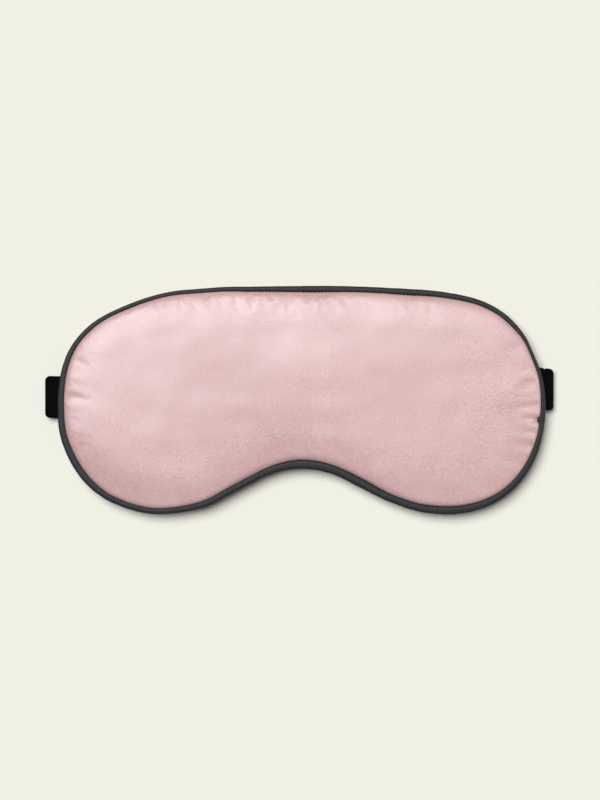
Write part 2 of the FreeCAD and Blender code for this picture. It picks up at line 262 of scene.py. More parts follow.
def set_uvs(piece, vertex_uvs):
    """UV map from one place for each vertex, in millimetres."""
    layer = piece.data.uv_layers.new(name="cloth")
    corners = np.empty(len(piece.data.loops), int)
    piece.data.loops.foreach_get("vertex_index", corners)
    layer.data.foreach_set("uv", np.asarray(vertex_uvs, float)[corners].ravel())


def apply_modifiers(piece):
    graph = bpy.context.evaluated_depsgraph_get()
    mesh = bpy.data.meshes.new_from_object(piece.evaluated_get(graph))
    piece.modifiers.clear()
    old = piece.data
    piece.data = mesh
    bpy.data.meshes.remove(old)
    mesh.name = piece.name


def subdivide(piece):
    """One round of subdivision, applied to the mesh."""
    smoother = piece.modifiers.new("Smooth", "SUBSURF")
    smoother.levels = 1
    smoother.render_levels = 1
    apply_modifiers(piece)
    piece.data.shade_smooth()


# ---- materials


class Shader:
    """A Principled material, with short ways to add the nodes that these fabrics need."""

    def __init__(self, name, colour, roughness, **sockets):
        self.material = bpy.data.materials.new(name)
        self.material.use_nodes = True
        self.tree = self.material.node_tree
        self.principled = self.tree.nodes["Principled BSDF"]
        self.principled.inputs["Base Color"].default_value = (*colour, 1)
        self.principled.inputs["Roughness"].default_value = roughness
        for socket, value in sockets.items():
            self.principled.inputs[socket.replace("_", " ")].default_value = value

    def node(self, kind, **inputs):
        made = self.tree.nodes.new(kind)
        for name, value in inputs.items():
            self.feed(made.inputs[name.replace("_", " ")], value)
        return made

    def feed(self, socket, value):
        if isinstance(value, bpy.types.NodeSocket):
            self.tree.links.new(value, socket)
        else:
            socket.default_value = value

    def coordinates(self, output, stretch, turned=0):
        """Texture space in millimetres, stretched by a share along each axis and turned about Z."""
        source = self.node("ShaderNodeTexCoord").outputs[output]
        scale = [share / MM if output == "Object" else share for share in stretch]
        turn = (0, 0, math.radians(turned))
        mapping = self.node("ShaderNodeMapping", Vector=source, Scale=scale, Rotation=turn)
        return mapping.outputs["Vector"]

    def noise(self, output, stretch, detail):
        vector = self.coordinates(output, stretch)
        return self.node("ShaderNodeTexNoise", Vector=vector, Scale=1.0, Detail=detail).outputs["Fac"]

    def wave(self, output, scale, axis, distortion, turned=0):
        vector = self.coordinates(output, (1, 1, 1), turned)
        made = self.node("ShaderNodeTexWave", Vector=vector, Scale=scale, Distortion=distortion)
        made.bands_direction = axis
        return made.outputs["Fac"]

    def math(self, operation, first, second):
        made = self.tree.nodes.new("ShaderNodeMath")
        made.operation = operation
        self.feed(made.inputs[0], first)
        self.feed(made.inputs[1], second)
        return made.outputs[0]

    def between(self, share, low, high):
        made = self.node("ShaderNodeMapRange", Value=share, To_Min=low, To_Max=high)
        return made.outputs["Result"]

    def contrast(self, share, low, high):
        """Stretches the values between low and high over the range from 0 to 1."""
        made = self.node("ShaderNodeMapRange", Value=share, From_Min=low, From_Max=high)
        return made.outputs["Result"]

    def blend_colours(self, share, first, second):
        made = self.tree.nodes.new("ShaderNodeMix")
        made.data_type = "RGBA"
        self.feed(made.inputs["Factor"], share)
        colours = [socket for socket in made.inputs if socket.type == "RGBA"]
        self.feed(colours[0], first)
        self.feed(colours[1], second)
        return [socket for socket in made.outputs if socket.type == "RGBA"][0]

    def bump(self, height, distance, strength, below=None):
        made = self.node("ShaderNodeBump", Height=height, Distance=distance * MM, Strength=strength)
        if below is not None:
            self.feed(made.inputs["Normal"], below)
        return made.outputs["Normal"]

    def use(self, socket, value):
        self.feed(self.principled.inputs[socket], value)


def linear(red, green, blue):
    """Linear colour of an sRGB one given in 0 to 255."""
    shares = [channel / 255 for channel in (red, green, blue)]
    return tuple(c / 12.92 if c <= 0.04045 else ((c + 0.055) / 1.055) ** 2.4 for c in shares)


def pink_satin(name):
    """Satin weave: long floats along X that catch the light, over finer threads across."""
    satin = Shader(name, linear(178, 143, 143), 0.4, Specular_IOR_Level=0.75, IOR=1.62,
                   Anisotropic=0.55, Sheen_Weight=0.05, Sheen_Roughness=0.35)
    floats = satin.noise("Object", (0.9, 2.4, 1), 2.0)
    floats = satin.contrast(floats, 0.36, 0.64)
    speckle = satin.noise("Object", (2.3, 2.3, 1), 1.0)
    speckle = satin.contrast(speckle, 0.34, 0.66)
    clouds = satin.noise("Object", (0.03, 0.05, 0.05), 3.0)
    clouds = satin.contrast(clouds, 0.3, 0.7)
    grain = satin.math("ADD", satin.math("MULTIPLY", floats, 0.45), satin.math("MULTIPLY", speckle, 0.55))
    shade = satin.math("ADD", satin.math("MULTIPLY", grain, 0.7), satin.math("MULTIPLY", clouds, 0.3))
    colour = satin.blend_colours(shade, (*linear(160, 124, 124), 1), (*linear(194, 160, 160), 1))
    satin.use("Base Color", colour)
    satin.use("Roughness", satin.between(grain, 0.28, 0.5))
    lengthwise = satin.tree.nodes.new("ShaderNodeTangent")
    lengthwise.direction_type = "RADIAL"
    lengthwise.axis = "Y"
    satin.use("Tangent", lengthwise.outputs["Tangent"])
    warp = satin.wave("Object", 0.9, "Y", 0.6)
    threads = satin.bump(warp, 0.02, 0.3)
    satin.use("Normal", satin.bump(grain, 0.06, 0.4, threads))
    return satin.material


def charcoal_satin():
    """The piping's satin, cut on the bias, so its threads run slantwise round the cord."""
    satin = Shader("charcoal_satin", linear(27, 27, 32), 0.5, Specular_IOR_Level=0.3,
                   Sheen_Weight=0.04, Sheen_Roughness=0.4)
    floats = satin.noise("UV", (0.8, 0.8, 1), 3.0)
    colour = satin.blend_colours(floats, (*linear(13, 13, 18), 1), (*linear(26, 26, 33), 1))
    satin.use("Base Color", colour)
    satin.use("Roughness", satin.between(floats, 0.44, 0.58))
    threads = satin.bump(satin.wave("UV", 0.8, "X", 0.5, turned=45), 0.03, 0.4)
    satin.use("Normal", satin.bump(floats, 0.08, 0.4, threads))
    return satin.material


def black_elastic():
    """Brushed elastic: ribs along the strap under a short nap."""
    elastic = Shader("black_elastic", linear(4, 4, 5), 0.85, Specular_IOR_Level=0.04,
                     Sheen_Weight=0.01, Sheen_Roughness=0.5)
    nap = elastic.noise("UV", (2.2, 2.6, 1), 4.0)
    colour = elastic.blend_colours(nap, (*linear(1, 1, 2), 1), (*linear(7, 7, 8), 1))
    elastic.use("Base Color", colour)
    elastic.use("Roughness", elastic.between(nap, 0.75, 0.95))
    ribs = elastic.wave("UV", 0.32, "Y", 0.3)
    picks = elastic.wave("UV", 0.45, "X", 0.6)
    woven = elastic.math("ADD", ribs, elastic.math("MULTIPLY", picks, 0.4))
    base = elastic.bump(woven, 0.12, 0.5)
    elastic.use("Normal", elastic.bump(nap, 0.25, 0.6, base))
    return elastic.material


def moulded_plastic():
    """Low-gloss moulded plastic with a fine spark-eroded grain."""
    plastic = Shader("moulded_plastic", linear(24, 24, 25), 0.38, Specular_IOR_Level=0.5)
    grain = plastic.noise("Object", (3, 3, 3), 3.0)
    plastic.use("Roughness", plastic.between(grain, 0.3, 0.46))
    plastic.use("Normal", plastic.bump(grain, 0.02, 0.5))
    return plastic.material


def spun_thread(name, colour):
    """Thread: two plies twisted round each other."""
    thread = Shader(name, colour, 0.6, Sheen_Weight=0.2, Sheen_Roughness=0.4)
    twist = thread.wave("Object", 2.2, "DIAGONAL", 0.4)
    thread.use("Roughness", thread.between(twist, 0.5, 0.7))
    thread.use("Normal", thread.bump(twist, 0.04, 0.6))
    return thread.material


def wadding():
    """White polyester wadding, matted and uneven."""
    fill = Shader("wadding", linear(225, 223, 217), 0.95, Sheen_Weight=0.2, Sheen_Roughness=0.6)
    fibres = fill.noise("Object", (0.5, 0.8, 0.8), 6.0)
    colour = fill.blend_colours(fibres, (*linear(206, 203, 196), 1), (*linear(238, 236, 231), 1))
    fill.use("Base Color", colour)
    fill.use("Normal", fill.bump(fibres, 0.6, 0.7))
    return fill.material


def lining():
    """Plain black woven lining."""
    cloth = Shader("lining", linear(20, 20, 21), 0.8)
    across = cloth.wave("Object", 0.8, "X", 0.4)
    along = cloth.wave("Object", 0.8, "Y", 0.4)
    weave = cloth.math("MAXIMUM", across, along)
    cloth.use("Roughness", cloth.between(weave, 0.7, 0.9))
    cloth.use("Normal", cloth.bump(weave, 0.1, 0.5))
    return cloth.material


def pale_floor():
    ground = Shader("pale_floor", linear(241, 241, 229), 0.9, Specular_IOR_Level=0.1)
    mottle = ground.noise("Object", (0.02, 0.02, 0.02), 2.0)
    ground.use("Roughness", ground.between(mottle, 0.88, 0.92))
    return ground.material


PINK_FRONT = pink_satin("pink_satin_front")
PINK_BACK = pink_satin("pink_satin_back")
CHARCOAL = charcoal_satin()
ELASTIC = black_elastic()
PLASTIC = moulded_plastic()
BLACK_THREAD = spun_thread("black_thread", linear(26, 26, 28))
WADDING = wadding()
LINING = lining()
CORD = spun_thread("cord_cotton", linear(214, 210, 200))

# ---- panels

# How far the front satin's rim lies under the piping, the rings of points along the rim (depth and
# outline points per ring point), and the spacing of the lattices inside them.
RIM_OVERLAP = 0.3
RIM_RINGS = ((0.0, 1), (0.6, 1), (1.3, 2), (2.2, 2))
MESH_STEP = 1.3
FILLING_STEP = 2.6
LATTICE_GAP = 0.8

# Puckers along the seam: side, distance along the half outline, reach inwards, half width,
# height, and slant (how far it drifts along the seam for each millimetre inwards).
FRONT_PUCKERS = (
    (-1, 31, 4, 1.2, 0.22, 0.3), (-1, 27, 5, 0.9, -0.3, 0.2), (-1, 24, 4, 0.8, 0.34, 0.2),
    (-1, 21.5, 6, 1, -0.34, 0.1), (-1, 19, 3, 0.7, 0.36, 0), (-1, 16.5, 7, 0.9, 0.3, 0.3),
    (-1, 14, 4, 0.8, -0.4, -0.1), (-1, 10.5, 5, 1, 0.32, 0.2), (-1, 8, 3, 0.7, -0.3, 0),
    (-1, 4.5, 6, 0.9, -0.3, 0.2), (-1, 1.5, 4, 0.8, 0.34, 0), (1, 2.5, 6, 1, -0.32, 0.2),
    (1, 5, 3, 0.7, 0.32, 0), (1, 8.5, 6, 0.9, 0.3, -0.3), (1, 11, 4, 0.8, -0.32, 0),
    (1, 15, 5, 1, 0.26, 0.2), (1, 19, 4, 0.9, -0.22, 0), (1, 41, 4, 1.2, 0.16, 0),
    (1, 46, 6, 1.4, -0.2, 0.2), (1, 52, 5, 1.2, 0.2, 0.2), (-1, 40, 6, 1.6, -0.2, 0),
    (-1, 48, 8, 1.8, 0.2, 0.2), (-1, 58, 8, 2, -0.2, 0.1), (-1, 66, 6, 1.6, 0.2, 0),
    (1, 100, 12, 1.8, 0.12, -0.3), (1, 104.5, 9, 1.3, -0.12, -0.2), (1, 110, 13, 2, 0.3, -0.1),
    (1, 114.5, 9, 1.1, -0.3, 0), (1, 118.5, 12, 1.5, 0.45, 0.1), (1, 122.5, 8, 1, -0.4, 0),
    (1, 126.5, 13, 1.3, 0.45, 0.1), (1, 130, 18, 1.2, 0.6, 0.1), (1, 133, 16, 1.1, -0.65, 0.05),
    (1, 136.5, 9, 1, 0.55, 0), (1, 139.5, 7, 0.8, -0.5, 0), (1, 143, 10, 0.9, 0.45, 0.1),
    (1, 145.4, 9, 0.8, -0.7, 0.1), (1, 148.5, 13, 1.3, 0.6, 0.15), (1, 152, 11, 1, -0.6, 0.2),
    (1, 156, 8, 1.2, 0.4, 0.2), (1, 161.5, 12, 1.3, -0.45, 0.3), (1, 166, 9, 1.3, 0.3, 0.3),
    (-1, 104, 8, 1.6, 0.25, -0.2), (-1, 112, 10, 1.6, -0.28, -0.1), (-1, 120, 11, 1.5, 0.3, 0),
    (-1, 126, 12, 1.2, 0.34, 0), (-1, 129.5, 14, 1, -0.42, 0), (-1, 133, 9, 1.1, 0.34, 0.1),
    (-1, 139, 7, 1.2, -0.26, 0.1), (-1, 146, 9, 1.5, 0.24, 0.1), (-1, 154, 10, 1.6, -0.26, 0.2),
    (-1, 176, 8, 2, 0.24, 0.2), (-1, 190, 9, 2.2, -0.24, 0.2), (-1, 214, 12, 2.6, -0.35, 0.1),
    (-1, 222, 14, 2.2, 0.3, 0.1), (-1, 236, 9, 2, -0.3, 0), (1, 186, 8, 1.8, 0.24, 0.2),
    (1, 204, 9, 2.2, -0.24, 0), (1, 232, 10, 2, -0.28, 0), (1, 240, 8, 1.6, 0.26, 0),
)

# How much of its height a pucker keeps, how it fades at the rim and widens inwards. At the mask's
# two ends, the stretch END_PUCKERS of each half, it keeps less height and reach.
PUCKER_HEIGHT = 0.8
PUCKER_FADE = 0.7
PUCKER_SPREAD = 0.6
END_PUCKERS = (98, 170)
END_PUCKER_HEIGHT = {-1: 0.42, 1: 0.5}
END_PUCKER_REACH = 0.72

# Stretches of the seam where its stitches bite into the satin's edge: side, middle, half length
# and depth.
SEAM_BITES = (
    (-1, 75, 10, 0.3), (1, 47, 9, 0.42), (1, 6, 9, 0.4), (1, 208, 20, 0.42), (1, 241, 10, 0.45),
    (-1, 16, 12, 0.3), (-1, 150, 20, 0.16),
)
STITCH_PITCH = 1.6

# A fold of the satin caught in the seam at the right end, where the piping looks wider: side, middle,
# half length and depth.
CAUGHT_FOLD = (1, 139.6, 1.2, 1.5)

# The cloth simulation: how far a point may move, how many steps it takes, how firmly the filling
# holds the satin and presses it out, how deep the rim is held fast, and how far inwards and by
# what share the satin is longer than its seam.
CLOTH_CAP = 1.2
CLOTH_FRAMES = 16
FILLING_HOLD = 0.15
FILLING_PRESSURE = 2.0
HELD_RIM = 0.3
EASED_REACH = 6.0
EASING = 0.016

# Stretches of the seam with more satin eased into them: side, middle, half length and share.
EASED_STRETCHES = (
    (-1, 16, 20, 0.5), (1, 12, 12, 0.35), (1, 136, 22, 0.5), (-1, 128, 20, 0.35), (-1, 60, 14, 0.12),
)
EASED_ELSEWHERE = 0.12


def stretch(side, middle, reach):
    """1 at the middle of a stretch of one half of the outline, fading away over reach."""
    near = np.exp(-(((OUTLINE.half_distance - middle) / reach) ** 2))
    return near * (OUTLINE.side == side)


def eased_share(index):
    """How much of the extra satin is eased in at each of the given outline points, up to 1."""
    share = np.full(len(index), EASED_ELSEWHERE)
    for side, middle, reach, extra in EASED_STRETCHES:
        share += extra * stretch(side, middle, reach)[index]
    return np.minimum(share, 1)


def caught_fold():
    """Extra width of the piping at the caught fold, at each outline point."""
    side, middle, reach, depth = CAUGHT_FOLD
    return depth * stretch(side, middle, reach)


def rim_inset():
    """Distance of the front panel's rim from the outline, at each outline point."""
    inset = OUTLINE.width - RIM_OVERLAP
    for side, middle, reach, depth in SEAM_BITES:
        wave = np.abs(np.sin(np.pi * OUTLINE.half_distance / STITCH_PITCH))
        inset = inset + depth * stretch(side, middle, reach) * wave
    return inset + caught_fold()


def flat_panel(inset, step=MESH_STEP):
    """Even triangles inside the outline: rings along the rim, then a lattice. Returns points,
    faces, each point's depth inside the rim and its nearest outline point."""
    rings = []
    for depth, stride in RIM_RINGS:
        moved = OUTLINE.point - OUTLINE.normal * (inset + depth)[:, None]
        rings.append(moved[: OUTLINE.count - stride + 1 : stride])
    rows = []
    row_step = step * math.sqrt(3) / 2
    for row, y in enumerate(np.arange(-FIELD_Y, FIELD_Y, row_step)):
        shift = step / 2 if row % 2 else 0
        xs = np.arange(-FIELD_X + shift, FIELD_X, step)
        rows.append(np.stack([xs, np.full(len(xs), y)], axis=1))
    lattice = np.concatenate(rows)
    index, gap, beyond = OUTLINE.nearest(lattice)
    deep = (beyond < 0) & (gap - inset[index] > RIM_RINGS[-1][0] + LATTICE_GAP * step)
    points = np.concatenate(rings + [lattice[deep]])
    border = list(range(len(rings[0])))[::-1]
    made = delaunay_2d_cdt([Vector(p) for p in points], [], [border], 1, 1e-5, False)
    points = np.array([(v.x, v.y) for v in made[0]])
    faces = np.array([list(face) for face in made[2]])
    middles = points[faces].mean(1)
    index, _, beyond = OUTLINE.nearest(middles)
    faces = [list(face) for face in faces[beyond + inset[index] < 0.0]]
    index, gap, _ = OUTLINE.nearest(points)
    depth = np.maximum(gap - inset[index], 0)
    return points, faces, depth, index


# Heights and reaches of the front's rolled rim, shoulder and dome.
ROLL_HEIGHT = 0.9
ROLL_REACH = 2.5
SHOULDER_HEIGHT = 2.5
SHOULDER_REACH = 14.0
DOME_HEIGHT = 2.4
UNEVEN_FADE = 6


def quarter_round(depth, reach):
    """0 at the rim and 1 beyond reach, round like a quarter of a circle."""
    share = np.clip(depth / reach, 0, 1)
    return np.sqrt(1 - (1 - share) ** 2)


def smooth_noise(points, size, seed):
    """Slow unevenness with swells about size across, the same every time for one seed."""
    return np.array([noise.noise(Vector((x / size, y / size, seed))) for x, y in points])


def pucker_height(index, depth):
    """Ridges and furrows that run inwards from the seam."""
    total = np.zeros(len(depth))
    for side, place, reach, width, height, slant in FRONT_PUCKERS:
        if END_PUCKERS[0] < place < END_PUCKERS[1]:
            height *= END_PUCKER_HEIGHT[side]
            reach *= END_PUCKER_REACH
        else:
            height *= PUCKER_HEIGHT
        along = OUTLINE.half_distance[index] * OUTLINE.side[index] - place * side
        across = (along - slant * depth * side) / (width * (1 + PUCKER_SPREAD * depth / reach))
        fade = np.clip(depth / PUCKER_FADE, 0, 1) * np.exp(-((depth / reach) ** 2))
        total += height * np.exp(-(across**2)) * fade
    return total


def front_height(points, depth, index):
    """Top of the mask: a tight roll at the rim, a wider one inside it, a dome and its unevenness."""
    roll = ROLL_HEIGHT * quarter_round(depth, ROLL_REACH)
    shoulder = SHOULDER_HEIGHT * quarter_round(depth, SHOULDER_REACH)
    dome = DOME_HEIGHT * DOME(points)
    uneven = 0.45 * smooth_noise(points, 27, 3.0) + 0.2 * smooth_noise(points, 11, 8.0)
    uneven *= np.clip(depth / UNEVEN_FADE, 0, 1)
    return FRONT_RIM_Z + (roll + shoulder) + dome + uneven + pucker_height(index, depth)


def cloth_pass(piece, depth, index):
    """Lets the satin settle as cloth: held at the rim, with a little more cloth than seam there so
    that it gathers, and pressed out by the filling. The filling also limits how far it may move."""
    start = np.array([v.co[:] for v in piece.data.vertices])
    held = piece.vertex_groups.new(name="held")
    unstretched = piece.vertex_groups.new(name="unstretched")
    flat_weight = 1 - eased_share(index) * np.exp(-((depth / EASED_REACH) ** 2))
    for vertex, inner in enumerate(depth):
        held.add([vertex], 1.0 if inner < HELD_RIM else FILLING_HOLD, "REPLACE")
        unstretched.add([vertex], float(flat_weight[vertex]), "REPLACE")
    cloth = piece.modifiers.new("Cloth", "CLOTH")
    settings = cloth.settings
    settings.quality = 6
    settings.mass = 0.1
    for stiffness, value in (("tension", 25), ("compression", 25), ("shear", 15), ("bending", 2)):
        setattr(settings, f"{stiffness}_stiffness", value)
    settings.air_damping = 5
    settings.vertex_group_mass = "held"
    settings.pin_stiffness = 1
    settings.vertex_group_shrink = "unstretched"
    settings.shrink_max = 0
    settings.shrink_min = -EASING
    settings.use_pressure = True
    settings.uniform_pressure_force = FILLING_PRESSURE
    settings.effector_weights.gravity = 0
    cloth.collision_settings.use_collision = False
    cloth.point_cache.frame_start = 1
    cloth.point_cache.frame_end = CLOTH_FRAMES
    scene = bpy.context.scene
    for step in range(1, CLOTH_FRAMES + 1):
        scene.frame_set(step)
    apply_modifiers(piece)
    piece.vertex_groups.clear()
    scene.frame_set(1)
    moved = np.array([v.co[:] for v in piece.data.vertices]) - start
    length = np.linalg.norm(moved, axis=1)
    share = np.minimum(1, CLOTH_CAP * MM / np.maximum(length, 1e-9))
    settled = start + moved * share[:, None]
    piece.data.vertices.foreach_set("co", settled.ravel())
    piece.data.update()


def front_cover():
    points, faces, depth, index = flat_panel(rim_inset())
    vertices = np.column_stack([points, front_height(points, depth, index)])
    piece = new_object("front_satin", vertices, faces, PINK_FRONT)
    cloth_pass(piece, depth, index)
    subdivide(piece)
    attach(piece, "mask")
    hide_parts("front_panel")


# The hollow in the back for the strap: half width, roof height and slope of its sides. Then how
# the back dips under the sewn strap ends: slack, slope beside them, and heights beyond each X.
CHANNEL_HALF = 12.9
CHANNEL_ROOF = 4.55
CHANNEL_SHOULDER = 6.0
END_SLACK = 0.5
END_SLOPE = 1.5
UNDER_END_X = 89.5
UNDER_END_Z = 3.85
EXIT_X = 96.0
EXIT_Z = 2.75
DIP_LENGTH = 3
BACK_INSET = 2.0
FLOOR_GAP = 0.02


def back_height(points, depth, index):
    """Underside: swells down to the floor, hollowed where the folded strap lies."""
    swell = 3.2 * quarter_round(depth, 9.0) + 2.3 * DOME(points)
    low = np.maximum(BACK_RIM_Z - swell, FLOOR_GAP)
    uneven = 0.18 * smooth_noise(points, 20, 5.0) * np.clip(depth / 5, 0, 1)
    low = np.maximum(low + uneven, FLOOR_GAP)
    off_line = np.abs(points[:, 1] - STRAP_Y)
    wall = smoothstep((off_line - CHANNEL_HALF) / CHANNEL_SHOULDER)
    channel = CHANNEL_ROOF + (low - CHANNEL_ROOF) * wall
    height = np.where(low < CHANNEL_ROOF, np.maximum(low, channel), low)
    off_end = np.abs(points[:, 1] - np.where(points[:, 0] < 0, FOLDS[-1][1], FOLDS[1][1]))
    by_end = 1 - smoothstep((off_end - STRAP_WIDTH / 2 - END_SLACK) / END_SLOPE)
    out = np.abs(points[:, 0])
    near_end = smoothstep((out - UNDER_END_X) / DIP_LENGTH)
    height += (np.minimum(height, UNDER_END_Z) - height) * by_end * near_end
    at_exit = smoothstep((out - EXIT_X) / DIP_LENGTH)
    return height + (np.minimum(height, EXIT_Z) - height) * by_end * at_exit


def back_cover():
    points, faces, depth, index = flat_panel(np.full(OUTLINE.count, BACK_INSET))
    vertices = np.column_stack([points, back_height(points, depth, index)])
    flipped = [face[::-1] for face in faces]
    piece = new_object("back_satin", vertices, flipped, PINK_BACK)
    subdivide(piece)
    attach(piece, "mask")
    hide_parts("back_panel")


# How far the wadding keeps inside each satin and off the lining, and how thin it may get.
FILLING_GAP = 0.7
BACK_FILLING_GAP = 0.42
LINER_GAP = 0.15
THINNEST = 0.1


def filling(name, node, front):
    """Wadding between a satin panel and the lining, closed round its rim."""
    points, faces, depth, index = flat_panel(OUTLINE.width + FILLING_GAP, FILLING_STEP)
    liner_bottom, liner_top = (corner[2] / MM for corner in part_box("blackout_liner"))
    if front:
        low = np.full(len(points), liner_top + LINER_GAP)
        high = np.maximum(front_height(points, depth, index) - FILLING_GAP, low + THINNEST)
    else:
        high = np.full(len(points), liner_bottom - LINER_GAP)
        low = np.minimum(back_height(points, depth, index) + BACK_FILLING_GAP, high - THINNEST)
    vertices = np.concatenate([np.column_stack([points, high]), np.column_stack([points, low])])
    count = len(points)
    uses = {(start, end) for face in faces for start, end in zip(face, face[1:] + face[:1])}
    rim = [(start, end) for start, end in sorted(uses) if (end, start) not in uses]
    shell = list(faces)
    shell += [[corner + count for corner in face[::-1]] for face in faces]
    shell += [[end, start, start + count, end + count] for start, end in rim]
    piece = new_object(name, vertices, shell, WADDING)
    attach(piece, "mask")
    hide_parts(node)


# ---- piping

PIPING_AROUND = 26
PIPING_GIRTH = 9.0
CORD_AROUND = 10
CORD_WIDTH_SHARE = 0.3
CORD_HEIGHT_SHARE = 0.65
THREAD_RADIUS = 0.15
THREAD_INSET = 0.9
SQUARENESS = 0.72


def squared(value):
    """Cosine or sine of a cross-section that is flatter than a circle on top."""
    return math.copysign(abs(value) ** SQUARENESS, value)


def ring_tube(name, material, section, z, around):
    """Bar that follows the outline. section gives, at an outline point, how far in its middle
    lies, its half width, its half height and a ripple for each step round it."""
    vertices = []
    uvs = []
    for index in range(OUTLINE.count):
        inset, half_width, half_height, ripples = section(index)
        middle = OUTLINE.point[index] - OUTLINE.normal[index] * inset
        for step, ripple in enumerate(ripples):
            turn = 2 * math.pi * step / around
            x, y = middle + OUTLINE.normal[index] * half_width * squared(math.cos(turn)) * ripple
            vertices.append((x, y, z + half_height * squared(math.sin(turn)) * ripple))
            uvs.append((OUTLINE.distance[index], step * PIPING_GIRTH / around))
    piece = new_object(name, vertices, ring_faces(OUTLINE.count, around, closed=True), material)
    set_uvs(piece, uvs)
    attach(piece, "mask")
    return piece


def piping():
    """Corded edge, a little flattened, with the slight twists and puckers of a bias strip."""
    fold = caught_fold()

    def section(index):
        place = OUTLINE.distance[index]
        loop = 2 * math.pi * place / OUTLINE.length
        ring = Vector((40 * math.cos(loop), 40 * math.sin(loop), 0))
        slow = noise.noise(ring * 0.5)
        fine = noise.noise(ring * 2.6 + Vector((9, 4, 1)))
        width = OUTLINE.width[index] + fold[index]
        ripples = []
        for step in range(PIPING_AROUND):
            turn = 2 * math.pi * step / PIPING_AROUND
            ripples.append(1 + 0.02 * noise.noise(Vector((place / 1.9, turn * 0.8, 7))))
        half_width = width / 2 * (1 + 0.04 * slow + 0.02 * fine)
        return width / 2, half_width, PIPING_HALF_HEIGHT * (1 + 0.05 * fine), ripples

    piece = ring_tube("piping_satin_edge", CHARCOAL, section, SEAM_Z, PIPING_AROUND)
    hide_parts("piping_cover")


def piping_cord():
    """Cotton cord that fills the piping."""

    def section(index):
        width = OUTLINE.width[index]
        half_width = CORD_WIDTH_SHARE * width
        return width / 2, half_width, CORD_HEIGHT_SHARE * PIPING_HALF_HEIGHT, [1] * CORD_AROUND

    piece = ring_tube("cotton_cord", CORD, section, SEAM_Z, CORD_AROUND)
    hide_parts("piping_cord")


def seam_thread():
    """Thread of the closing seam, between the panels' rims."""

    def section(index):
        inset = OUTLINE.width[index] + THREAD_INSET
        return inset, THREAD_RADIUS, THREAD_RADIUS, [1] * CORD_AROUND

    piece = ring_tube("closing_seam_thread", BLACK_THREAD, section, SEAM_Z + 0.2, CORD_AROUND)
    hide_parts("seam_thread")


# ---- strap

# Points across the strap and round each edge, the radius of a fold's corners, and the crease at
# the right fold: depth, distance from the fold's tip and half width.
BAND_ACROSS = 26
EDGE_ROUND = 4
CORNER_RADIUS = 1.7
PINCH = 0.5
PINCH_INSET = 3.3
PINCH_HALF_WIDTH = 0.55


def band_section():
    """Half-round edged cross-section: offsets across the strap and through its thickness."""
    half = STRAP_WIDTH / 2
    radius = STRAP_THICKNESS / 2
    section = []
    flat = np.linspace(-(half - radius), half - radius, BAND_ACROSS)
    section.extend((across, radius) for across in flat)
    for step in range(1, EDGE_ROUND):
        turn = math.pi / 2 - math.pi * step / EDGE_ROUND
        section.append((half - radius + radius * math.cos(turn), radius * math.sin(turn)))
    section.extend((across, -radius) for across in flat[::-1])
    for step in range(1, EDGE_ROUND):
        turn = -math.pi / 2 - math.pi * step / EDGE_ROUND
        section.append((-(half - radius) + radius * math.cos(turn), radius * math.sin(turn)))
    return section


def resample(path, step):
    """Even steps along a path of (x, y, z) points."""
    path = np.array(path, float)
    lengths = travelled(path)
    count = max(2, int(round(lengths[-1] / step)) + 1)
    places = np.linspace(0, lengths[-1], count)
    return np.column_stack([np.interp(places, lengths, path[:, axis]) for axis in range(3)])


def rounded(path, rounds=4):
    """Cuts the corners of a path again and again, which turns them into smooth bends."""
    path = np.array(path, float)
    for _ in range(rounds):
        near = path[:-1] * 0.75 + path[1:] * 0.25
        far = path[:-1] * 0.25 + path[1:] * 0.75
        inner = np.stack([near, far], axis=1).reshape(-1, 3)
        path = np.concatenate([path[:1], inner[1:-1], path[-1:]])
    return path


# Where the strap's underside starts in its UV map, clear of its upper face.
UNDERSIDE_UV = 40


def corner_pull(x, tip):
    """How far the strap's edge draws in near a fold at tip: it rounds the fold's corners, and at
    the right end the elastic is pinched in along a crease."""
    beyond = min(max(abs(x) - (tip - CORNER_RADIUS), 0), CORNER_RADIUS)
    crease = PINCH * math.exp(-(((tip - PINCH_INSET - x) / PINCH_HALF_WIDTH) ** 2))
    return crease + CORNER_RADIUS - math.sqrt(CORNER_RADIUS**2 - beyond**2)


def band(name, path, uv_start, seed, tip=None):
    """Strap along a path of its middle line; the path runs in X and Z, with slow drift in Y. Its
    edges waver and its faces swell a little. tip is how far out along X the strap folds back."""
    section = band_section()
    along = np.gradient(path, axis=0)
    along[:, 1] = 0
    along /= np.linalg.norm(along, axis=1)[:, None]
    upward = np.column_stack([-along[:, 2], np.zeros(len(path)), along[:, 0]])
    vertices = []
    uvs = []
    for place, point, up in zip(travelled(path), path, upward):
        pulled = corner_pull(point[0], tip) if tip else 0
        for across, through in section:
            edge = abs(across) / (STRAP_WIDTH / 2)
            across *= 1 - pulled / (STRAP_WIDTH / 2)
            reached = uv_start + place
            beside = Vector((reached / 3.1, math.copysign(2, across), seed))
            waver = 0.12 * noise.noise(beside)
            swell = 0.05 * noise.noise(Vector((reached / 2.3, across / 2.3, seed + through)))
            offset = up * (through + math.copysign(swell, through) * (1 - edge**8))
            vertices.append(point + offset + np.array([0, across + waver * edge**6, 0]))
            uvs.append((reached, across if through >= 0 else across + UNDERSIDE_UV))
    size = len(section)
    faces = ring_faces(len(path), size)
    faces.append(tuple(range(size)))
    faces.append(tuple(range((len(path) - 1) * size, len(path) * size))[::-1])
    piece = new_object(name, vertices, faces, ELASTIC)
    set_uvs(piece, uvs)
    return piece


# The folds: height of the bend's middle, and its radius. Then the sewn end's heights in the seam
# and over the fold, where it starts, and where side and rear parts meet.
FOLD_MIDDLE_Z = 1.85
FOLD_RADIUS = 1.45
SEWN_Z = 4.45
OVER_FOLD_Z = FOLD_MIDDLE_Z + FOLD_RADIUS
END_INNER_X = 93.9
JOIN_X = 78.0

